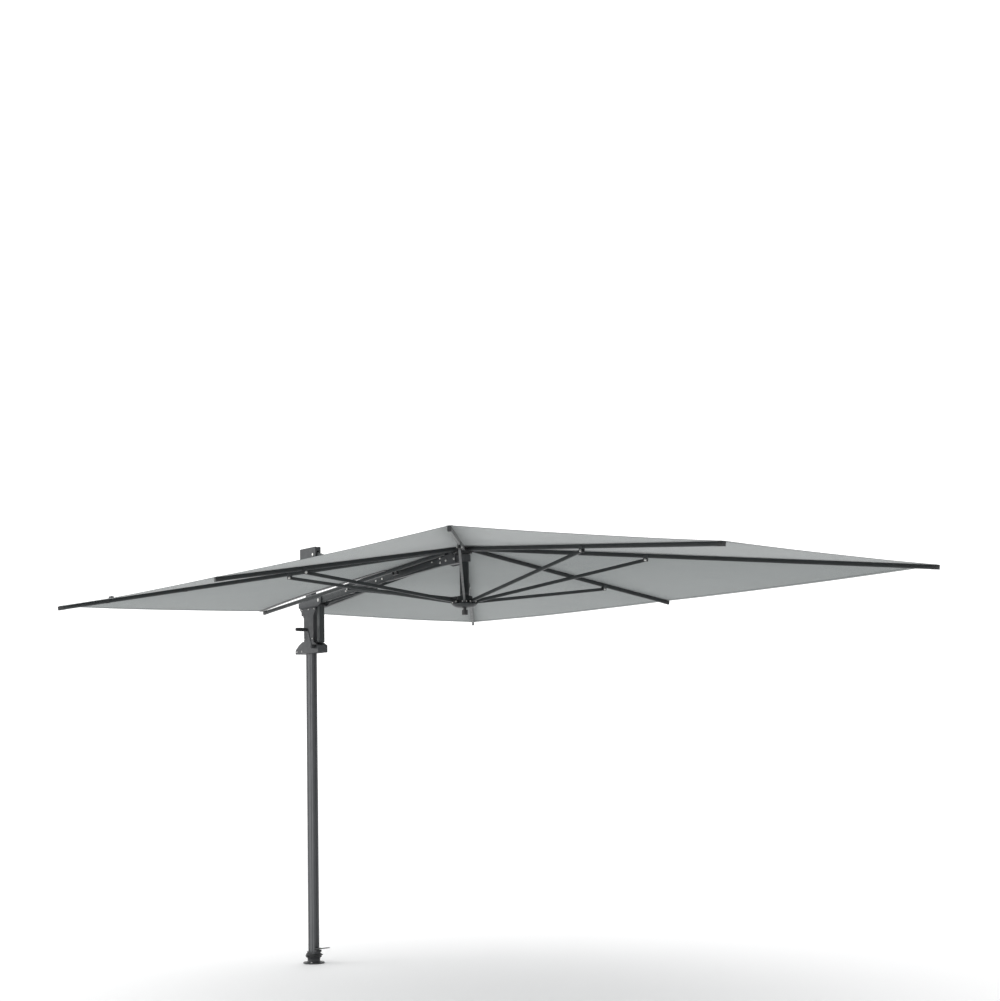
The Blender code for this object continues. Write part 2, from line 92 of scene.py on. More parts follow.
def rib_line(name):
    """A rib's pivot, its tip and its strut's lower pivot."""
    pivot = joint("canopy_fold" if name == "front" else name + "_rib_fold")[0]
    side = -1 if "right" in name else 1
    if name.startswith("mast"):
        tip = HUB + Vector((MAST_RIB[1].x, side * MAST_RIB[1].y, MAST_RIB[1].z))
        flat = Vector((tip.x - pivot.x, tip.y - pivot.y, 0)).normalized()
        lower = pivot + (HUB.x + MAST_STRUT.x - pivot.x) / flat.x * flat
        lower.z = MAST_STRUT.z
        return pivot, tip, lower
    x = {"front": HALF_L, "rear": -HALF_L}.get(name.split("_")[0], 0)
    y = 0 if name == "front" else side * HALF_W
    tip = HUB + Vector((x, y, TIP_Z.get(name, CORNER_Z)))
    out = Vector((x, y, 0)).normalized()
    lower = HUB + RUNNER_PIVOT[0] * out + Vector((0, 0, RUNNER_PIVOT[1]))
    return pivot, tip, lower


def axes_along(start, end):
    """Directions along, across and up for a bar between two points."""
    along = (end - start).normalized()
    across = Vector((0, 0, 1)).cross(along)
    across = across.normalized() if across.length > 1e-6 else Vector((0, 1, 0))
    return along, across, along.cross(across)


# ---- Materials ----
def new_material(name, colour, roughness, metallic=0.0):
    """A node material, its shader and a maker of texture nodes in object coordinates."""
    mat = bpy.data.materials.new(name)
    mat.use_nodes = True
    tree = mat.node_tree
    shader = tree.nodes["Principled BSDF"]
    shader.inputs["Base Color"].default_value = (*colour, 1)
    shader.inputs["Roughness"].default_value = roughness
    shader.inputs["Metallic"].default_value = metallic
    place = tree.nodes.new("ShaderNodeTexCoord").outputs["Object"]
    return mat, tree, shader, place


def noise_node(tree, place, scale, detail=3.0, stretch=(1, 1, 1)):
    """A noise texture's value, stretched along an axis where asked."""
    mapping = tree.nodes.new("ShaderNodeMapping")
    mapping.inputs["Scale"].default_value = stretch
    tree.links.new(place, mapping.inputs["Vector"])
    texture = tree.nodes.new("ShaderNodeTexNoise")
    texture.inputs["Scale"].default_value = scale
    texture.inputs["Detail"].default_value = detail
    tree.links.new(mapping.outputs["Vector"], texture.inputs["Vector"])
    return texture.outputs["Fac"]


def ramp(tree, value, stops):
    """A colour ramp over a value."""
    node = tree.nodes.new("ShaderNodeValToRGB")
    elements = node.color_ramp.elements
    while len(elements) < len(stops):
        elements.new(0.5)
    for element, (position, colour) in zip(elements, stops):
        element.position = position
        element.color = (*colour, 1) if len(colour) == 3 else colour
    tree.links.new(value, node.inputs["Fac"])
    return node.outputs["Color"]


def mix_colour(tree, factor, a, b):
    """Blends two colours, of which each is a value or an output."""
    node = tree.nodes.new("ShaderNodeMix")
    node.data_type = "RGBA"
    for value, socket in ((factor, node.inputs[0]), (a, node.inputs[6]), (b, node.inputs[7])):
        if isinstance(value, bpy.types.NodeSocket):
            tree.links.new(value, socket)
        else:
            socket.default_value = value if isinstance(value, float) else (*value, 1)
    return node.outputs[2]


def bump(tree, height, strength, distance, under=None):
    """A bump from a height value, over another bump where given."""
    node = tree.nodes.new("ShaderNodeBump")
    node.inputs["Strength"].default_value = strength
    node.inputs["Distance"].default_value = distance
    tree.links.new(height, node.inputs["Height"])
    if under:
        tree.links.new(under, node.inputs["Normal"])
    return node.outputs["Normal"]


def scaled(colour, by):
    return tuple(min(1.0, c * by) for c in colour)


def painted(name, colour, roughness=0.42, metallic=0.35):
    """Powder coat: fine orange peel, slight cloudiness, and lighter worn edges."""
    mat, tree, shader, place = new_material(name, colour, roughness, metallic)
    cloud = noise_node(tree, place, 7.0, 4.0)
    tone = ramp(tree, cloud, [(0.3, scaled(colour, 0.88)), (0.7, scaled(colour, 1.12))])
    edge = tree.nodes.new("ShaderNodeNewGeometry").outputs["Pointiness"]
    worn = ramp(tree, edge, [(0.50, (0, 0, 0)), (0.62, (0.5, 0.5, 0.5))])
    tree.links.new(mix_colour(tree, worn, tone, scaled(colour, 2.2)), shader.inputs["Base Color"])
    patches = noise_node(tree, place, 30.0)
    rough = ramp(tree, patches, [(0.3, (roughness - 0.06,) * 3), (0.7, (roughness + 0.08,) * 3)])
    tree.links.new(rough, shader.inputs["Roughness"])
    tree.links.new(bump(tree, noise_node(tree, place, 900.0, 2.0), 0.12, 0.0004), shader.inputs["Normal"])
    return mat


def moulded(name, colour, roughness=0.6):
    """Black plastic with a fine spark-eroded grain."""
    mat, tree, shader, place = new_material(name, colour, roughness)
    cloud = noise_node(tree, place, 14.0, 3.0)
    tree.links.new(ramp(tree, cloud, [(0.3, scaled(colour, 0.8)), (0.7, scaled(colour, 1.3))]),
                   shader.inputs["Base Color"])
    tree.links.new(bump(tree, noise_node(tree, place, 1400.0, 2.0), 0.25, 0.0003), shader.inputs["Normal"])
    return mat


def steel(name):
    """Stainless steel with fine brushed lines."""
    mat, tree, shader, place = new_material(name, (0.62, 0.62, 0.60), 0.28, 1.0)
    lines = noise_node(tree, place, 60.0, 6.0, (1, 1, 22))
    tree.links.new(ramp(tree, lines, [(0.3, (0.22,) * 3), (0.7, (0.40,) * 3)]), shader.inputs["Roughness"])
    tree.links.new(ramp(tree, lines, [(0.2, (0.52, 0.52, 0.50)), (0.8, (0.70, 0.70, 0.68))]),
                   shader.inputs["Base Color"])
    tree.links.new(bump(tree, lines, 0.08, 0.0002), shader.inputs["Normal"])
    return mat


def woven(name, colour, thread=0.0011):
    """Solution-dyed canopy cloth: a plain weave, slubs along both threads, and a faint cloudy tone."""
    mat, tree, shader, place = new_material(name, colour, 0.88)
    shader.inputs["Sheen Weight"].default_value = 0.45
    shader.inputs["Sheen Roughness"].default_value = 0.5
    slub_x = noise_node(tree, place, 40.0, 3.0, (0.12, 4.0, 1.0))
    slub_y = noise_node(tree, place, 40.0, 3.0, (4.0, 0.12, 1.0))
    slubs = mix_colour(tree, 0.5, slub_x, slub_y)
    cloud = noise_node(tree, place, 1.6, 3.0)
    base = ramp(tree, slubs, [(0.3, scaled(colour, 0.90)), (0.7, scaled(colour, 1.10))])
    broad = ramp(tree, cloud, [(0.3, scaled(colour, 0.95)), (0.7, scaled(colour, 1.05))])
    tree.links.new(mix_colour(tree, 0.5, base, broad), shader.inputs["Base Color"])
    waves = []
    for direction in ("X", "Y"):
        wave = tree.nodes.new("ShaderNodeTexWave")
        wave.bands_direction = direction
        wave.inputs["Scale"].default_value = 0.314 / thread
        wave.inputs["Distortion"].default_value = 0.4
        tree.links.new(place, wave.inputs["Vector"])
        waves.append(wave.outputs["Fac"])
    weave = bump(tree, mix_colour(tree, 0.5, *waves), 0.35, 0.0004)
    soft = bump(tree, noise_node(tree, place, 5.0, 4.0), 0.25, 0.010, weave)
    tree.links.new(soft, shader.inputs["Normal"])
    return mat


FRAME_PAINT = painted("frame_powder_coat", (0.017, 0.020, 0.021), 0.42, 0.20)
CASTING_PAINT = painted("casting_powder_coat", (0.030, 0.032, 0.034), 0.50, 0.20)
MAST_PAINT = painted("mast_powder_coat", (0.048, 0.050, 0.053), 0.42, 0.30)
PLASTIC = moulded("black_moulded_plastic", (0.014, 0.015, 0.016), 0.55)
GRIP = moulded("grip_plastic", (0.010, 0.011, 0.012), 0.75)
STEEL = steel("stainless_steel_brushed")
FABRIC = woven("canopy_cloth", (0.098, 0.120, 0.119))
WEBBING = woven("hem_webbing", (0.077, 0.095, 0.094), 0.0016)
STRAP = woven("black_webbing", (0.022, 0.024, 0.025), 0.0018)


# ---- Mesh helpers ----
def finish_piece(name, shape, material, body, stands_for=(), crease=35):
    """Turns a bmesh into a piece that rides on a body."""
    bmesh.ops.recalc_face_normals(shape, faces=shape.faces)
    mesh = bpy.data.meshes.new(name)
    shape.to_mesh(mesh)
    shape.free()
    mesh.materials.append(material)
    mesh.shade_smooth()
    mesh.set_sharp_from_angle(angle=math.radians(crease))
    obj = bpy.data.objects.new(name, mesh)
    bpy.context.scene.collection.objects.link(obj)
    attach(obj, body)
    if stands_for:
        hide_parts(*stands_for)
    return obj


def soften(shape, width, segments=2, above=30):
    """Rounds a bmesh's sharp edges."""
    if width <= 0:
        return
    sharp = [e for e in shape.edges if len(e.link_faces) == 2 and e.calc_face_angle(0) > math.radians(above)]
    bmesh.ops.bevel(shape, geom=sharp, offset=width, segments=segments, affect="EDGES", profile=0.5,
                    clamp_overlap=True)


def sweep(shape, outline, start, end):
    """Adds a bar with a closed outline (across, up) between two points."""
    _, across, up = axes_along(start, end)
    rings = [[shape.verts.new(at + a * across + u * up) for a, u in outline] for at in (start, end)]
    count = len(outline)
    for i in range(count):
        j = (i + 1) % count
        shape.faces.new((rings[0][i], rings[0][j], rings[1][j], rings[1][i]))
    shape.faces.new(rings[0][::-1])
    shape.faces.new(rings[1])


def turn(shape, profile, centre, direction, sides=48):
    """Adds a turned shape from (radius, height) points, closed on its axis at both ends."""
    direction = direction.normalized()
    side = direction.orthogonal().normalized()
    other = direction.cross(side)
    rings = []
    for radius, height in profile:
        at = centre + height * direction
        if radius < 1e-6:
            rings.append([shape.verts.new(at)])
            continue
        rings.append([shape.verts.new(at + radius * (math.cos(a) * side + math.sin(a) * other))
                      for a in (2 * math.pi * i / sides for i in range(sides))])
    for low, high in zip(rings, rings[1:]):
        for i in range(sides):
            j = (i + 1) % sides
            corners = [low[i % len(low)], low[j % len(low)], high[j % len(high)], high[i % len(high)]]
            shape.faces.new(list(dict.fromkeys(corners)))


def turn_ring(shape, profile, centre, direction, sides=48):
    """Adds a turned shape whose profile is a closed loop away from the axis."""
    direction = direction.normalized()
    side = direction.orthogonal().normalized()
    other = direction.cross(side)
    rings = []
    for i in range(sides):
        a = 2 * math.pi * i / sides
        out = math.cos(a) * side + math.sin(a) * other
        rings.append([shape.verts.new(centre + r * out + h * direction) for r, h in profile])
    for i in range(sides):
        now, after = rings[i], rings[(i + 1) % sides]
        for k in range(len(profile)):
            n = (k + 1) % len(profile)
            shape.faces.new((now[k], now[n], after[n], after[k]))


def side_plate(shape, outline, y_low, y_high):
    """Adds a plate whose outline is given as X and Z."""
    rings = [[shape.verts.new((x, y, z)) for x, z in outline] for y in (y_low, y_high)]
    count = len(outline)
    for i in range(count):
        j = (i + 1) % count
        shape.faces.new((rings[0][i], rings[0][j], rings[1][j], rings[1][i]))
    shape.faces.new(rings[0][::-1])
    shape.faces.new(rings[1])


def block(shape, low, high):
    """Adds a box between two corners."""
    x0, y0, z0 = low
    x1, y1, z1 = high
    side_plate(shape, [(x0, z0), (x1, z0), (x1, z1), (x0, z1)], y0, y1)


def round_outline(half_a, half_b, radius, steps=4):
    """A rectangle with round corners."""
    points = []
    for quarter, (sa, sb) in enumerate(((1, 1), (-1, 1), (-1, -1), (1, -1))):
        for i in range(steps + 1):
            a = (quarter + i / steps) * math.pi / 2
            points.append((sa * (half_a - radius) + radius * math.cos(a),
                           sb * (half_b - radius) + radius * math.sin(a)))
    return points


def capsule(start, end, start_half, end_half, steps=12):
    """Outline in X and Z of a bar with round ends."""
    lean = math.atan2(end.z - start.z, end.x - start.x)
    ends = ((end, end_half, -math.pi / 2), (start, start_half, math.pi / 2))
    return [(at.x + half * math.cos(lean + first + math.pi * i / steps),
             at.z + half * math.sin(lean + first + math.pi * i / steps))
            for at, half, first in ends for i in range(steps + 1)]


def carve(obj, shape):
    """Cuts a bmesh out of a piece."""
    bmesh.ops.recalc_face_normals(shape, faces=shape.faces)
    mesh = bpy.data.meshes.new("cutter")
    shape.to_mesh(mesh)
    shape.free()
    cutter = bpy.data.objects.new("cutter", mesh)
    bpy.context.scene.collection.objects.link(cutter)
    boolean = obj.modifiers.new("cut", "BOOLEAN")
    boolean.operation = "DIFFERENCE"
    boolean.object = cutter
    bpy.context.view_layer.update()
    done = bpy.data.meshes.new_from_object(obj.evaluated_get(bpy.context.evaluated_depsgraph_get()))
    obj.modifiers.clear()
    obj.data = done
    obj.data.set_sharp_from_angle(angle=math.radians(35))
    bpy.data.objects.remove(cutter, do_unlink=True)


def bolt(shape, at, out, radius):
    """Adds a washer, a domed hexagon head and its socket, standing on a face."""
    washer = [(0, 0), (radius * 1.45, 0), (radius * 1.5, 0.0004), (radius * 1.4, 0.0011), (0, 0.0011)]
    head = [(0, 0.0010), (radius, 0.0010), (radius, 0.0030), (radius * 0.8, 0.0042),
            (radius * 0.42, 0.0046), (radius * 0.40, 0.0030), (0, 0.0030)]
    turn(shape, washer, at, out, 24)
    turn(shape, head, at, out, 18)


def bolts(name, body, places, radius):
    """One piece of several bolts: each place is a point on a face and the face's direction."""
    shape = bmesh.new()
    for at, out in places:
        bolt(shape, Vector(at), Vector(out), radius)
    return finish_piece(name, shape, STEEL, body)


# ---- Canopy ----
FABRIC_LIFT = RIB_HEIGHT / 2 + 0.0016       # from a rib's centre line to the cloth's underside
PEAK_Z = PIVOT_Z + 0.010
CLOTH = 0.0009
SLOT_START, SLOT_HEM_Y, SLOT_BOW = 0.66, 0.150, 0.038
SAG_SHARE = 0.004                           # sag of the cloth between two ribs, as a share of the span
RATIO = HALF_W / HALF_L                     # y over x along a corner rib
HEM = 0.024                                 # width of the doubled hem


def slot_edge(x):
    """Distance from the middle plane to the rib or hem beside the mast, at a distance x behind the hub."""
    start, end = MAST_RIB
    if x < -start.x:
        return start.y * x / -start.x
    if x <= SLOT_START:
        return start.y + (x + start.x) / (-end.x + start.x) * (end.y - start.y)
    inner = start.y + (SLOT_START + start.x) / (-end.x + start.x) * (end.y - start.y)
    return inner + (x - SLOT_START) / (HALF_L - SLOT_START) * (SLOT_HEM_Y - inner)


def slot_cut(x):
    """Distance from the middle plane to the cloth's cut edge, which bows away from the rib."""
    along = max(0.0, (x - SLOT_START) / (HALF_L - SLOT_START))
    return slot_edge(x) + SLOT_BOW * math.sin(math.pi * along ** 1.3)


def edge_height(x):
    """Height of the cloth over the pair of ribs beside the mast."""
    start, end = MAST_RIB
    near_z = start.z + 0.006
    if x < -start.x:
        return PEAK_Z + (near_z - PEAK_Z) * x / -start.x
    rise = 0.006 * max(0.0, 1 - (x + start.x) / 0.5)
    return start.z + (x + start.x) / (-end.x + start.x) * (end.z - start.z) + rise


def height(x, y):
    """Underside of the stretched cloth over a point, counted from the hub's axis."""
    y = abs(y)
    corner = PEAK_Z + (CORNER_Z - PEAK_Z) * max(abs(x) / HALF_L, y / HALF_W)
    if y >= RATIO * abs(x):
        span = max(y / RATIO, 1e-6)
        middle = PEAK_Z + (TIP_Z["left"] - PEAK_Z) * y / HALF_W
        share, width = abs(x) / span, span
    elif x > 0:
        middle = PEAK_Z + (TIP_Z["front"] - PEAK_Z) * x / HALF_L
        share, width = y / (RATIO * x), RATIO * x
    else:
        edge = slot_edge(-x)
        middle = edge_height(-x)
        if y < edge:
            return middle + FABRIC_LIFT
        width = RATIO * -x - edge
        share = (y - edge) / max(width, 1e-6)
    z = middle + (corner - middle) * share
    sag = SAG_SHARE * width * 4 * share * (1 - share)
    ripple = 0.0020 * noise.noise(Vector((x * 2.3, y * 2.3, 0.7))) * 4 * share * (1 - share)
    return z - sag + ripple + FABRIC_LIFT


def cloth_rows(name):
    """Rows of (x, y) from the hub's axis, over the part of the canopy that one rib carries."""
    steps = 40
    if name.startswith("mast"):
        side = 1 if name == "mast_left" else -1
        middle_y = (HALF_W + SLOT_HEM_Y) / 2 / HALF_L
        inner, outer = [], []
        for i in range(steps + 1):
            x = 0.001 + (HALF_L - 0.001) * i / steps
            edge = slot_cut(x)
            outer.append([(-x, side * (edge + (middle_y * x - edge) * k / 10)) for k in range(11)])
        for i in range(13):
            x = 0.001 + (SLOT_START - 0.001) * i / 12
            inner.append([(-x, side * slot_edge(x) * k / 3) for k in range(4)])
        return outer, inner
    hems = {"front": [(HALF_L, -HALF_W / 2), (HALF_L, 0), (HALF_L, HALF_W / 2)],
            "left": [(HALF_L / 2, HALF_W), (0, HALF_W), (-HALF_L / 2, HALF_W)],
            "front_left": [(HALF_L, HALF_W / 2), (HALF_L, HALF_W), (HALF_L / 2, HALF_W)],
            "rear_left": [(-HALF_L / 2, HALF_W), (-HALF_L, HALF_W), (-HALF_L, (HALF_W + SLOT_HEM_Y) / 2)]}
    key = name.replace("right", "left")
    side = -1 if "right" in name else 1
    stops = hems[key]
    line = []
    for a, b in zip(stops, stops[1:]):
        line += [(a[0] + (b[0] - a[0]) * k / 10, a[1] + (b[1] - a[1]) * k / 10) for k in range(10)]
    line.append(stops[-1])
    shares = [max(0.0005, i / steps) for i in range(steps + 1)]
    return [[(t * x, side * t * y) for x, y in line] for t in shares], None


def cloth_sheet(rows, thickness):
    """A closed thin sheet over rows of points, and its flat area."""
    shape = bmesh.new()
    area = 0.0
    layers = []
    for lift in (0.0, thickness):
        layers.append([[shape.verts.new((HUB.x + x, y, height(x, y) + lift)) for x, y in row]
                       for row in rows])
    low, high = layers
    for i in range(len(rows) - 1):
        for k in range(len(rows[0]) - 1):
            face = shape.faces.new((high[i][k], high[i][k + 1], high[i + 1][k + 1], high[i + 1][k]))
            area += face.calc_area()
            shape.faces.new((low[i][k], low[i + 1][k], low[i + 1][k + 1], low[i][k + 1]))
    last_i, last_k = len(rows) - 1, len(rows[0]) - 1
    rim = [(i, 0) for i in range(last_i)] + [(last_i, k) for k in range(last_k)]
    rim += [(i, last_k) for i in range(last_i, 0, -1)] + [(0, k) for k in range(last_k, 0, -1)]
    for (i, k), (m, n) in zip(rim, rim[1:] + rim[:1]):
        shape.faces.new((low[i][k], low[m][n], high[m][n], high[i][k]))
    return shape, area


def squashes(obj):
    """Gives a piece of cloth its own copy of its mesh."""
    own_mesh(obj)


def make_canopy():
    for name in RIB_NAMES:
        rows, inner = cloth_rows(name)
        shape, area = cloth_sheet(rows, CLOTH)
        if inner:
            strip, strip_area = cloth_sheet(inner, CLOTH)
            mesh = bpy.data.meshes.new("strip")
            strip.to_mesh(mesh)
            strip.free()
            shape.from_mesh(mesh)
            bmesh.ops.remove_doubles(shape, verts=shape.verts, dist=1e-5)
            area += strip_area
        cloth = finish_piece("canopy_panel_" + name, shape, FABRIC, name + "_rib", ["canopy"], crease=50)
        trims = make_hem(name, rows, HEM) + [make_seam(name)]
        for piece in [cloth] + trims:
            squashes(piece)


def make_hem(name, rows, wide):
    """The doubled hem, sewn under the cloth's outer edge, and a dark band along the slot beside the mast."""
    shape = bmesh.new()

    def band(outer, inward, from_below=0.0012):
        rings = []
        for (x, y), (dx, dy) in zip(outer, inward):
            ring = []
            for share, drop in ((0, 0.0004), (0, -from_below), (1, -from_below), (1, -0.0001)):
                px, py = x + dx * wide * share, y + dy * wide * share
                ring.append(shape.verts.new((HUB.x + px, py, height(px, py) + drop)))
            rings.append(ring)
        for now, after in zip(rings, rings[1:]):
            for k in range(4):
                n = (k + 1) % 4
                shape.faces.new((now[k], now[n], after[n], after[k]))
        shape.faces.new(rings[0][::-1])
        shape.faces.new(rings[-1])

    last = rows[-1]

    def inward_of(x, y):
        on_x = abs(abs(x) - HALF_L) < 1e-6
        on_y = abs(abs(y) - HALF_W) < 1e-6
        return (-math.copysign(1, x) if on_x else 0.0, -math.copysign(1, y) if on_y else 0.0)

    band(last, [inward_of(x, y) for x, y in last])
    hem = finish_piece("canopy_hem_" + name, shape, WEBBING, name + "_rib", crease=60)
    if not name.startswith("mast"):
        return [hem]
    # Along the slot beside the mast: a dark band of black webbing, hanging 4 mm below the cloth's underside.
    shape = bmesh.new()
    side = 1 if name == "mast_left" else -1
    edge = [row[0] for row in rows if -row[0][0] >= SLOT_START - 0.02]
    band(edge, [(0.0, float(side))] * len(edge), 0.0040)
    return [hem, finish_piece("canopy_slot_dark_band_" + name, shape, STRAP, name + "_rib", crease=60)]


# Across the tape and up from the cloth: two raised edges, and a flat underside.
TAPE_SECTION = ((-1, 0.0), (-0.8, 0.0012), (-0.3, 0.0007), (0.3, 0.0007), (0.8, 0.0012), (1, 0.0),
                (0, -0.0002))


def make_seam(name):
    """The sewn tape that holds the cloth along its rib, on the cloth's upper side, with raised edges."""
    pivot, tip, _ = rib_line(name)
    start, end = pivot - HUB, tip - HUB
    half, steps = 0.014, 40
    shape = bmesh.new()
    flat = Vector((end.x - start.x, end.y - start.y, 0)).normalized()
    across = Vector((-flat.y, flat.x, 0))
    rings = []
    reach = (SLOT_START + start.x) / (start.x - end.x) if name.startswith("mast") else 0.995
    for i in range(steps + 1):
        at = start.lerp(end, 0.01 + (reach - 0.01) * i / steps)
        ring = []
        for share, rise in TAPE_SECTION:
            point = at + share * half * across
            if name.startswith("mast"):
                edge = slot_edge(-point.x)
                point.y = math.copysign(max(abs(point.y), edge + 0.001), point.y)
            ring.append(shape.verts.new((HUB.x + point.x, point.y, height(point.x, point.y) + CLOTH + rise)))
        rings.append(ring)
    for now, after in zip(rings, rings[1:]):
        for k in range(7):
            n = (k + 1) % 7
            shape.faces.new((now[k], now[n], after[n], after[k]))
    shape.faces.new(rings[0][::-1])
    shape.faces.new(rings[-1])
    return finish_piece("canopy_seam_" + name, shape, WEBBING, name + "_rib", crease=60)


# ---- Ribs and struts ----
def grooved(half_a, half_b, radius, groove=0.0012):
    """A bar's outline with round corners and a shallow groove along both sides."""
    points = round_outline(half_a, half_b, radius, 3)
    out = []
    for i, (a, b) in enumerate(points):
        out.append((a, b))
        after = points[(i + 1) % len(points)]
        if abs(a - after[0]) < 1e-9 and abs(b - after[1]) > half_b:
            way = math.copysign(1, after[1] - b)
            inside = a - math.copysign(groove, a)
            out += [(a, -way * 0.0022), (inside, -way * 0.0012), (inside, way * 0.0012), (a, way * 0.0022)]
    return out


def make_rib(name):
    pivot, tip, lower = rib_line(name)
    along, across, up = axes_along(pivot, tip)
    body = name + "_rib"
    shape = bmesh.new()
    sweep(shape, grooved(RIB_WIDTH / 2, RIB_HEIGHT / 2, 0.0025), pivot - 0.005 * along, tip - 0.030 * along)
    finish_piece("rib_bar_" + name, shape, FRAME_PAINT, body, ["rib_" + name])
    shape = bmesh.new()
    sweep(shape, round_outline(RIB_WIDTH / 2 + 0.001, RIB_HEIGHT / 2 + 0.0006, 0.004), tip - 0.042 * along,
          tip + 0.001 * along)
    soften(shape, 0.0015, 2, 50)
    finish_piece("rib_end_cap_" + name, shape, PLASTIC, body)
    joint_at = pivot + STRUT_REACH * along - STRUT_DROP * up
    shape = bmesh.new()
    for side in (1, -1):
        centre = pivot + STRUT_REACH * along + side * 0.0082 * across
        outline = round_outline(0.0014, 0.0165, 0.0012, 2)
        sweep(shape, outline, centre - 0.012 * along - 0.0125 * up, centre + 0.012 * along - 0.0125 * up)
    finish_piece("rib_bracket_" + name, shape, CASTING_PAINT, body)
    face = 0.0098 * across
    bolts("rib_bolts_" + name, body, [(joint_at + face, across), (joint_at - face, -across)], 0.0048)
    strut = name + "_strut"
    down = (joint_at - lower).normalized()
    shape = bmesh.new()
    sweep(shape, grooved(STRUT_WIDTH / 2, STRUT_HEIGHT / 2, 0.0025, 0.0008), lower + 0.020 * down,
          joint_at - 0.020 * down)
    finish_piece("strut_bar_" + name, shape, FRAME_PAINT, strut, ["strut_" + name])
    shape = bmesh.new()
    for at, way in ((lower, 1), (joint_at, -1)):
        sweep(shape, round_outline(STRUT_WIDTH / 2 - 0.0008, STRUT_HEIGHT / 2 - 0.0006, 0.003),
              at - 0.004 * way * down, at + 0.034 * way * down)
    finish_piece("strut_ends_" + name, shape, PLASTIC, strut)


# ---- Hub, lower hub, arm and stay ----
def make_hub():
    up = Vector((0, 0, 1))
    shape = bmesh.new()
    top = TUBE_HIGH.z
    turn(shape, [(0, TUBE_LOW.z), (0.0235, TUBE_LOW.z), (0.025, TUBE_LOW.z + 0.002), (0.025, 2.130),
                 (0.0262, 2.132),
                 (0.0262, 2.138), (0.025, 2.140), (0.025, top), (0, top)], HUB, up)
    finish_piece("hub_tube_shell", shape, FRAME_PAINT, "hub", ["hub_tube"])
    low, high = box_of("top_cap")
    shape = bmesh.new()
    turn(shape, [(0, low.z), (0.030, low.z), (0.032, low.z + 0.002), (0.031, low.z + 0.005),
                 (0.024, low.z + 0.0085),
                 (0.012, high.z), (0, high.z)], HUB, up)
    finish_piece("top_cap_dome", shape, PLASTIC, "hub", ["top_cap"])
    x = HUB.x
    outline = [(x - 0.200, 2.318), (x - 0.150, 2.298), (x - 0.033, 2.302), (x - 0.033, 2.351),
               (x - 0.052, 2.351),
               (x - 0.060, 2.362), (x - 0.190, 2.3595), (x - 0.203, 2.343)]
    for side, word in ((1, "left"), (-1, "right")):
        shape = bmesh.new()
        side_plate(shape, outline, *sorted((side * CHEEK_IN, side * CHEEK_OUT)))
        soften(shape, 0.0012)
        turn(shape, [(0, 0.033), (0.0055, 0.033), (0.0055, 0.0425), (0, 0.0425)],
             Vector((x + MAST_RIB[0].x, 0, MAST_RIB[0].z)), Vector((0, side, 0)), 24)
        finish_piece("hub_cheek_plate_" + word, shape, CASTING_PAINT, "hub", ["hub_cheek_" + word])
    places = [((px, side * CHEEK_OUT, pz), (0, side, 0)) for side in (1, -1)
              for px, pz in ((1.473, 2.345), (1.474, 2.320), (1.529, 2.327), (1.606, 2.328))]
    bolts("hub_cheek_bolts", "hub", places, 0.0050)


def make_runner():
    up = Vector((0, 0, 1))
    shape = bmesh.new()
    turn(shape, [(0, 2.0545), (0.020, 2.0545), (0.044, 2.0575), (0.060, 2.064), (0.0675, 2.0715),
                 (0.068, 2.0775), (0.066, 2.0790), (0.046, 2.0785), (0.044, 2.081), (0.043, 2.116),
                 (0.041, 2.119), (0.0258, 2.119),
                 (0.0256, 2.060), (0, 2.060)], HUB, up, 64)
    for name in RIB_NAMES:
        if name.startswith("mast"):
            continue
        lower = rib_line(name)[2]
        out = Vector((lower.x - HUB.x, lower.y, 0)).normalized()
        side = Vector((-out.y, out.x, 0))
        for way in (1, -1):
            middle = HUB + side * way * 0.0079 + Vector((0, 0, 2.0860))
            sweep(shape, round_outline(0.0013, 0.0100, 0.001, 2), middle + 0.041 * out,
                  middle + 0.0725 * out)
    finish_piece("lower_hub_bowl", shape, FRAME_PAINT, "runner", ["lower_hub"])
    places = []
    for name in RIB_NAMES:
        if not name.startswith("mast"):
            lower = rib_line(name)[2]
            out = Vector((lower.x - HUB.x, lower.y, 0)).normalized()
            side = Vector((-out.y, out.x, 0))
            places += [(lower + way * 0.0093 * side - 0.002 * up, way * side) for way in (1, -1)]
    bolts("lower_hub_pins", "runner", places, 0.0036)
    low, high = box_of("pull_knob")
    shape = bmesh.new()
    block(shape, (low.x, low.y, low.z), (high.x, high.y, high.z - 0.008))
    soften(shape, 0.003, 3)
    turn(shape, [(0, high.z - 0.010), (0.0085, high.z - 0.010), (0.0085, high.z), (0, high.z)], HUB, up, 32)
    finish_piece("pull_knob_body", shape, PLASTIC, "runner", ["pull_knob"])


def on_arm(distance, rise=0.0):
    """A point along the arm from its root pivot, raised across it."""
    along = (ARM_TIP - ARM_ROOT).normalized()
    return ARM_ROOT + distance * along + rise * Vector((-along.z, 0, along.x))


def rail_outline(spare=0.0):
    lean = math.atan2(ARM_TIP.z - ARM_ROOT.z, ARM_TIP.x - ARM_ROOT.x)
    root, middle, tip = 0.0215 - spare, 0.024 - spare, 0.0195 - spare
    points = [on_arm(0.65, -middle), on_arm(0.95, -tip)]
    points += [ARM_TIP + tip * Vector((math.cos(lean + a), 0, math.sin(lean + a)))
               for a in (-math.pi / 2 + math.pi * i / 14 for i in range(15))]
    points += [on_arm(0.95, tip), on_arm(0.65, middle)]
    points += [ARM_ROOT + root * Vector((math.cos(lean + a), 0, math.sin(lean + a)))
               for a in (math.pi / 2 + math.pi * i / 14 for i in range(15))]
    return [(p.x, p.z) for p in points]


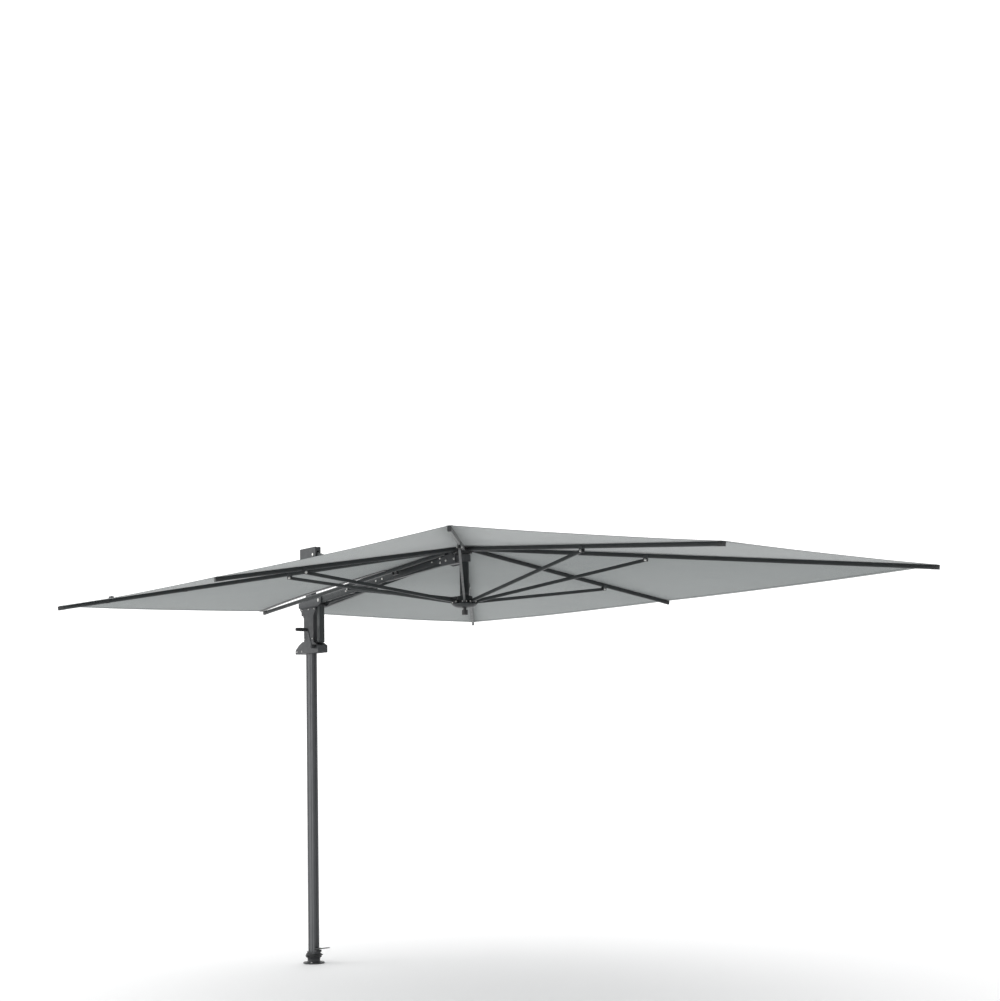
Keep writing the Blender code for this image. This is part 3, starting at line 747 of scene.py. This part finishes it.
def make_arm():
    for side, word in ((1, "left"), (-1, "right")):
        shape = bmesh.new()
        side_plate(shape, rail_outline(), *sorted((side * 0.024, side * 0.0285)))
        soften(shape, 0.001)
        strip = capsule(on_arm(0.03, 0.011), on_arm(1.30, 0.010), 0.0045, 0.0045)
        side_plate(shape, strip, *sorted((side * 0.028, side * 0.0300)))
        strip = capsule(on_arm(0.03, -0.011), on_arm(1.30, -0.010), 0.0045, 0.0045)
        side_plate(shape, strip, *sorted((side * 0.028, side * 0.0300)))
        finish_piece("arm_rail_profile_" + word, shape, FRAME_PAINT, "arm", ["arm_rail_" + word])
    places = [((at.x, side * 0.0284, at.z), (0, side, 0)) for side in (1, -1)
              for at in (on_arm(0.655), on_arm(0.722), on_arm(0.318), on_arm(1.24))]
    bolts("arm_bolts", "arm", places, 0.0046)
    shape = bmesh.new()
    side_plate(shape, capsule(LINK_TIP, LINK_END, 0.012, 0.012), -0.011, 0.011)
    soften(shape, 0.002, 2, 50)
    finish_piece("levelling_link_bar", shape, FRAME_PAINT, "link", ["levelling_link"])
    shape = bmesh.new()
    side_plate(shape, capsule(STAY_TOP, ARM_JOINT, 0.020, 0.018), -0.008, 0.008)
    soften(shape, 0.002, 2, 50)
    bush = [(0, -0.0225), (0.011, -0.0225), (0.012, -0.0215), (0.012, 0.0215), (0.011, 0.0225), (0, 0.0225)]
    turn(shape, bush, ARM_JOINT, Vector((0, 1, 0)), 32)
    finish_piece("stay_bar_body", shape, FRAME_PAINT, "stay", ["stay_bar"])


# ---- Mast, head and foot ----
def mast_outline(half_x, half_y, radius, groove=0.0022):
    """The mast's section: round corners, two grooves on each broad side and one on each narrow side."""
    points = round_outline(half_x, half_y, radius, 5)
    out = []
    for i, (a, b) in enumerate(points):
        out.append((a, b))
        c, d = points[(i + 1) % len(points)]
        if abs(b - d) < 1e-9 and abs(a - c) > half_x:
            way = math.copysign(1, c - a)
            inside = b - math.copysign(groove, b)
            for centre in (-0.018, 0.018):
                x = centre * way
                out += [(x - way * 0.0030, b), (x - way * 0.0018, inside), (x + way * 0.0018, inside),
                        (x + way * 0.0030, b)]
        if abs(a - c) < 1e-9 and abs(b - d) > 0.010:
            way = math.copysign(1, d - b)
            inside = a - math.copysign(groove, a)
            out += [(a, -way * 0.0034), (inside, -way * 0.0022), (inside, way * 0.0022), (a, way * 0.0034)]
    return out


def make_mast():
    low, high = box_of("mast_tube")
    shape = bmesh.new()
    section = mast_outline(0.039, 0.020, 0.009)
    rings = [[shape.verts.new((x, y, z)) for x, y in section] for z in (low.z, high.z)]
    count = len(rings[0])
    for i in range(count):
        j = (i + 1) % count
        shape.faces.new((rings[0][i], rings[0][j], rings[1][j], rings[1][i]))
    shape.faces.new(rings[0][::-1])
    shape.faces.new(rings[1])
    finish_piece("mast_profile", shape, MAST_PAINT, "mast", ["mast_tube"])
    outline = [(-0.100, 2.470), (-0.060, 2.4405), (0.075, 2.4405), (0.090, 2.455), (0.090, 2.558),
               (0.086, 2.562), (-0.096, 2.562), (-0.100, 2.558)]
    shape = bmesh.new()
    for side in (1, -1):
        side_plate(shape, outline, *sorted((side * 0.0095, side * 0.0195)))
    soften(shape, 0.0018, 3)
    back = bmesh.new()
    block(back, (-0.094, -0.0096, 2.4465), (0.036, 0.0096, 2.556))
    block(back, (0.0355, -0.0096, 2.5367), (0.0885, 0.0096, 2.5605))
    soften(back, 0.0012)
    mesh = bpy.data.meshes.new("back")
    back.to_mesh(mesh)
    back.free()
    shape.from_mesh(mesh)
    finish_piece("mast_head_casting", shape, CASTING_PAINT, "mast", ["mast_head"])
    places = [((px, side * 0.0195, pz), (0, side, 0)) for side in (1, -1)
              for px, pz in ((-0.070, 2.480), (-0.012, 2.470), (0.022, 2.470))]
    bolts("mast_head_bolts", "mast", places, 0.0045)


def make_foot():
    up = Vector((0, 0, 1))
    zero = Vector((0, 0, 0))
    shape = bmesh.new()
    turn(shape, [(0, 0), (0.0635, 0), (0.065, 0.0015), (0.065, 0.0060), (0.063, 0.008), (0.046, 0.0082),
                 (0.044, 0.0085), (0, 0.0085)], zero, up, 64)
    finish_piece("base_flange_plate", shape, CASTING_PAINT, "base", ["base_flange"])
    places = [((0.0545 * math.cos(a), 0.0545 * math.sin(a), 0.0078), (0, 0, 1))
              for a in (math.pi / 4 + k * math.pi / 2 for k in range(4))]
    bolts("base_flange_bolts", "base", places, 0.0048)
    shape = bmesh.new()
    turn_ring(shape, [(0.0165, 0.0088), (0.040, 0.0088), (0.0405, 0.011), (0.0385, 0.014), (0.0385, 0.029),
                      (0.0400, 0.032), (0.0385, 0.035), (0.0165, 0.035)], zero, up, 64)
    finish_piece("lower_collar_body", shape, CASTING_PAINT, "base", ["lower_collar"])
    shape = bmesh.new()
    turn_ring(shape, [(0.0165, 0.0355), (0.044, 0.0355), (0.048, 0.039), (0.0485, 0.044), (0.046, 0.0475),
                      (0.0485, 0.051), (0.048, 0.056), (0.045, 0.0598), (0.0165, 0.0598)], zero, up, 64)
    for side in (1, -1):
        loop = [(0.0085 + 0.0042 * math.cos(a), 0.0042 * math.sin(a))
                for a in (2 * math.pi * i / 12 for i in range(12))]
        turn_ring(shape, loop, Vector((0.004, side * 0.0470, 0.0480)), up, 28)
    finish_piece("clamp_ring_body", shape, PLASTIC, "base", ["clamp_ring"])
    shape = bmesh.new()
    outline = [(0.040, 0.0890), (0.070, 0.0890), (0.120, 0.0966), (0.163, 0.1032), (0.1652, 0.1055),
               (0.163, 0.1075),
               (0.118, 0.1010), (0.068, 0.0955), (0.046, 0.0960), (0.040, 0.0945)]
    side_plate(shape, outline, -0.017, 0.017)
    soften(shape, 0.0008)
    for k in range(6):
        x = 0.112 + 0.008 * k
        z = 0.1003 + (x - 0.112) * 0.15
        block(shape, (x, -0.0145, z - 0.002), (x + 0.003, 0.0145, z + 0.0012))
    finish_piece("foot_pedal_tread", shape, PLASTIC, "pedal", ["foot_pedal"])


# ---- Carriage and crank ----
def mast_way(low, high, spare=0.0031):
    shape = bmesh.new()
    outline = round_outline(0.039 + spare, 0.020 + spare, 0.010)
    rings = [[shape.verts.new((x, y, z)) for x, y in outline] for z in (low, high)]
    count = len(outline)
    for i in range(count):
        j = (i + 1) % count
        shape.faces.new((rings[0][i], rings[0][j], rings[1][j], rings[1][i]))
    shape.faces.new(rings[0][::-1])
    shape.faces.new(rings[1])
    return shape


def make_carriage():
    shape = bmesh.new()
    outline = [(-0.139, 1.901), (-0.136, 1.900), (0.135, 1.900), (0.138, 1.903), (0.138, 1.944),
               (0.100, 1.9615),
               (0.072, 1.975), (-0.047, 1.975), (-0.060, 1.971), (-0.095, 1.956), (-0.139, 1.926)]
    side_plate(shape, outline, -0.034, 0.034)
    soften(shape, 0.003, 3, 20)
    base = finish_piece("carriage_base_casting", shape, CASTING_PAINT, "carriage", ["carriage_base"])
    carve(base, mast_way(1.85, 2.05))
    pocket = bmesh.new()
    block(pocket, (0.080, -0.024, 1.88), (0.120, 0.024, 1.9555))
    carve(base, pocket)
    shape = bmesh.new()
    outline = [(-0.046, 1.9753), (0.070, 1.9753), (0.070, 2.128), (0.080, 2.148), (0.0973, 2.166),
               (0.0973, 2.1855),
               (-0.0925, 2.1855), (-0.0925, 2.176), (-0.062, 2.148), (-0.046, 2.118)]
    side_plate(shape, outline, -0.026, 0.026)
    soften(shape, 0.0022, 2, 20)
    housing = finish_piece("carriage_housing_cover", shape, CASTING_PAINT, "carriage", ["carriage_housing"])
    carve(housing, mast_way(1.9, 2.25))
    for side in (1, -1):
        groove = bmesh.new()
        block(groove, (-0.030, side * 0.0245 if side > 0 else -0.030, 2.000),
              (0.054, 0.030 if side > 0 else -0.0245, 2.0022))
        carve(housing, groove)
    shape = bmesh.new()
    sweep(shape, round_outline(0.018, 0.0177, 0.004), Vector((0.11625, 0, 1.9640)),
          Vector((0.11625, 0, 2.1855)))
    finish_piece("front_column_profile", shape, FRAME_PAINT, "carriage", ["front_column"])
    shape = bmesh.new()
    outline = [(-0.0925, 2.1858), (0.137, 2.1858), (0.180, 2.205), (0.180, 2.241), (0.176, 2.245),
               (-0.072, 2.245),
               (-0.0925, 2.228)]
    side_plate(shape, outline, -0.0365, 0.0365)
    soften(shape, 0.0015, 2, 25)
    yoke = finish_piece("arm_yoke_casting", shape, CASTING_PAINT, "carriage", ["arm_yoke"])
    way = bmesh.new()
    block(way, (0.110, -0.0307, 2.197), (0.22, 0.0307, 2.30))
    carve(yoke, way)
    way = bmesh.new()
    block(way, (0.1372, -0.0307, 2.10), (0.22, 0.0307, 2.30))
    carve(yoke, way)
    carve(yoke, mast_way(2.1, 2.3, 0.001))
    places = [((ARM_ROOT.x, side * 0.0365, ARM_ROOT.z), (0, side, 0)) for side in (1, -1)]
    bolts("arm_root_bolts", "carriage", places, 0.0070)
    cover_screws = ((-0.034, 1.990), (0.058, 1.990), (-0.070, 2.174), (0.080, 2.174), (0.012, 2.174))
    places = [((px, side * 0.0260, pz), (0, side, 0)) for side in (1, -1) for px, pz in cover_screws]
    places += [((px, side * 0.0340, 1.915), (0, side, 0)) for side in (1, -1) for px in (-0.118, -0.060)]
    bolts("carriage_screws", "carriage", places, 0.0034)


def make_crank():
    pivot, axis = joint("crank_turn")
    knob_at = joint("crank_knob_spin")[0]
    end = Vector((knob_at.x, 0, knob_at.z))
    back = Vector((0, -1, 0))
    shape = bmesh.new()
    side_plate(shape, capsule(pivot, end, 0.0125, 0.0095), -0.0650, -0.0585)
    soften(shape, 0.0018, 3, 50)
    turn(shape, [(0, 0.0345), (0.011, 0.0345), (0.012, 0.0355), (0.012, 0.0500), (0.0135, 0.0560),
                 (0.0135, 0.0600),
                 (0, 0.0600)], pivot, back, 40)
    turn(shape, [(0, 0.0640), (0.0075, 0.0640), (0.0070, 0.0670), (0, 0.0675)], pivot, back, 32)
    finish_piece("crank_arm_forging", shape, CASTING_PAINT, "crank", ["crank_arm"])
    shape = bmesh.new()
    profile = [(0, 0.0655), (0.0095, 0.0655), (0.0105, 0.0670), (0.0100, 0.0690)]
    for k in range(7):
        start = 0.0710 + 0.0092 * k
        swell = 0.0106 + 0.0009 * math.sin(math.pi * (k + 0.5) / 7)
        profile += [(swell - 0.0008, start), (swell, start + 0.0015), (swell, start + 0.0065),
                    (swell - 0.0008, start + 0.0080)]
    profile += [(0.0108, 0.1370), (0.0098, 0.1405), (0.0060, 0.1420), (0, 0.1420)]
    turn(shape, profile, end, back, 40)
    finish_piece("crank_knob_grip", shape, GRIP, "crank_grip", ["crank_knob"])


# ---- Small soft parts: the tie strap and its clip ----
def make_straps():
    pivot, tip, _ = rib_line("rear_right")
    along = axes_along(pivot, tip)[0]
    shape = bmesh.new()
    for distance in (1.60, 2.10):
        at = pivot + distance * along
        sweep(shape, round_outline(0.0092, 0.0130, 0.003), at - 0.009 * along, at + 0.009 * along)
    finish_piece("tie_straps_rear_right", shape, STRAP, "rear_right_rib")
    shape = bmesh.new()
    x, y = -1.28, -1.485
    z = height(x, y) + CLOTH
    side_plate(shape, [(HUB.x + x - 0.020, z), (HUB.x + x + 0.020, z), (HUB.x + x + 0.016, z + 0.009),
                       (HUB.x + x - 0.012, z + 0.009)], y - 0.008, y + 0.008)
    soften(shape, 0.001)
    loop = finish_piece("tie_loop_rear_right", shape, STRAP, "rear_right_rib")
    squashes(loop)
    pivot, tip, _ = rib_line("mast_right")
    along, _, up = axes_along(pivot, tip)
    shape = bmesh.new()
    middle = pivot + 0.47 * along
    for start, end in ((-0.024, -0.018), (0.018, 0.024)):
        sweep(shape, round_outline(0.006, 0.009, 0.001), middle + start * along - 0.0185 * up,
              middle + end * along - 0.0185 * up)
    sweep(shape, round_outline(0.006, 0.002, 0.001), middle - 0.024 * along - 0.0275 * up,
          middle + 0.024 * along - 0.0275 * up)
    finish_piece("rib_clip_mast_right", shape, PLASTIC, "mast_right_rib")


def dress_cad():
    """Better materials for the CAD nodes that stay in view."""
    looks = {"base_spigot": STEEL, "foot_socket": CASTING_PAINT, "pedal_bracket": PLASTIC, "stay_pin": STEEL,
             "glide_liner": PLASTIC, "cord_drum": PLASTIC, "arm_root_spacer": STEEL, "arm_tip_spacer": STEEL,
             "arm_cross_box": CASTING_PAINT, "hub_block": CASTING_PAINT, "top_hub": PLASTIC,
             "strut_block": CASTING_PAINT}
    for node, material in looks.items():
        obj = frame["nodes"][node]
        obj.data.materials.clear()
        obj.data.materials.append(material)


# ---- Stage: floor, light and camera ----
DARK_SIDE = (0.85, 0.50, 0.0)               # the studio is darker towards here: to the camera's right, out of view


def plain(name, colour, roughness):
    mat, tree, shader, place = new_material(name, colour, roughness)
    tone = ramp(tree, noise_node(tree, place, 0.5), [(0.3, scaled(colour, 0.995)), (0.7, colour)])
    tree.links.new(tone, shader.inputs["Base Color"])
    return mat


def area_light(name, at, target, size, power):
    light = bpy.data.lights.new(name, "AREA")
    light.shape = "DISK"
    light.size = size
    light.energy = power
    obj = bpy.data.objects.new(name, light)
    obj.location = at
    obj.rotation_euler = (Vector(target) - Vector(at)).to_track_quat("-Z", "Y").to_euler()
    bpy.context.scene.collection.objects.link(obj)


def make_stage():
    shape = bmesh.new()
    bmesh.ops.create_circle(shape, cap_ends=True, segments=96, radius=60.0)
    mesh = bpy.data.meshes.new("floor")
    shape.to_mesh(mesh)
    shape.free()
    mesh.materials.append(plain("studio_floor", (0.97, 0.97, 0.97), 0.9))
    floor = bpy.data.objects.new("floor", mesh)
    floor.location.z = -0.0005
    bpy.context.scene.collection.objects.link(floor)
    world = bpy.data.worlds.new("studio")
    bpy.context.scene.world = world
    world.use_nodes = True
    background = world.node_tree.nodes["Background"]
    background.inputs["Strength"].default_value = 1.35
    tree = world.node_tree
    way = tree.nodes.new("ShaderNodeTexCoord").outputs["Generated"]
    dot = tree.nodes.new("ShaderNodeVectorMath")
    dot.operation = "DOT_PRODUCT"
    dot.inputs[1].default_value = DARK_SIDE
    tree.links.new(way, dot.inputs[0])
    tree.links.new(ramp(tree, dot.outputs["Value"], [(0.0, (1, 1, 1)), (0.9, (0.45, 0.45, 0.46))]),
                   background.inputs["Color"])
    area_light("side", (-5.0, -6.5, 2.2), (0.5, 0, 1.5), 3.0, 90)
    area_light("fill", (3.0, -8.0, 0.9), (0.6, 0, 1.8), 2.5, 60)
    bpy.context.scene.view_settings.view_transform = "Standard"


CAMERA_AT = (8.8406, -5.1461, 1.3035)
CAMERA_TURN = (143.162, 5.119, -1.059)      # yaw, pitch and roll, in degrees
LENS_MM, SHIFT_Y = 58.67, 0.0994


def make_camera():
    camera = bpy.data.cameras.new("camera")
    camera.sensor_width = 36.0
    camera.lens = LENS_MM
    camera.shift_y = SHIFT_Y
    camera.clip_end = 200.0
    obj = bpy.data.objects.new("camera", camera)
    yaw, pitch, roll = (math.radians(angle) for angle in CAMERA_TURN)
    look = Vector((math.cos(yaw) * math.cos(pitch), math.sin(yaw) * math.cos(pitch), math.sin(pitch)))
    right = Vector((math.sin(yaw), -math.cos(yaw), 0))
    up = right.cross(look)
    turned_right = right * math.cos(roll) + up * math.sin(roll)
    turned_up = up * math.cos(roll) - right * math.sin(roll)
    rotation = Matrix((turned_right, turned_up, -look)).transposed().to_4x4()
    obj.matrix_world = Matrix.Translation(CAMERA_AT) @ rotation
    bpy.context.scene.collection.objects.link(obj)
    bpy.context.scene.camera = obj


make_camera()
make_stage()
make_canopy()
for rib_name in RIB_NAMES:
    make_rib(rib_name)
make_hub()
make_runner()
make_arm()
make_mast()
make_foot()
make_carriage()
make_crank()
make_straps()
dress_cad()
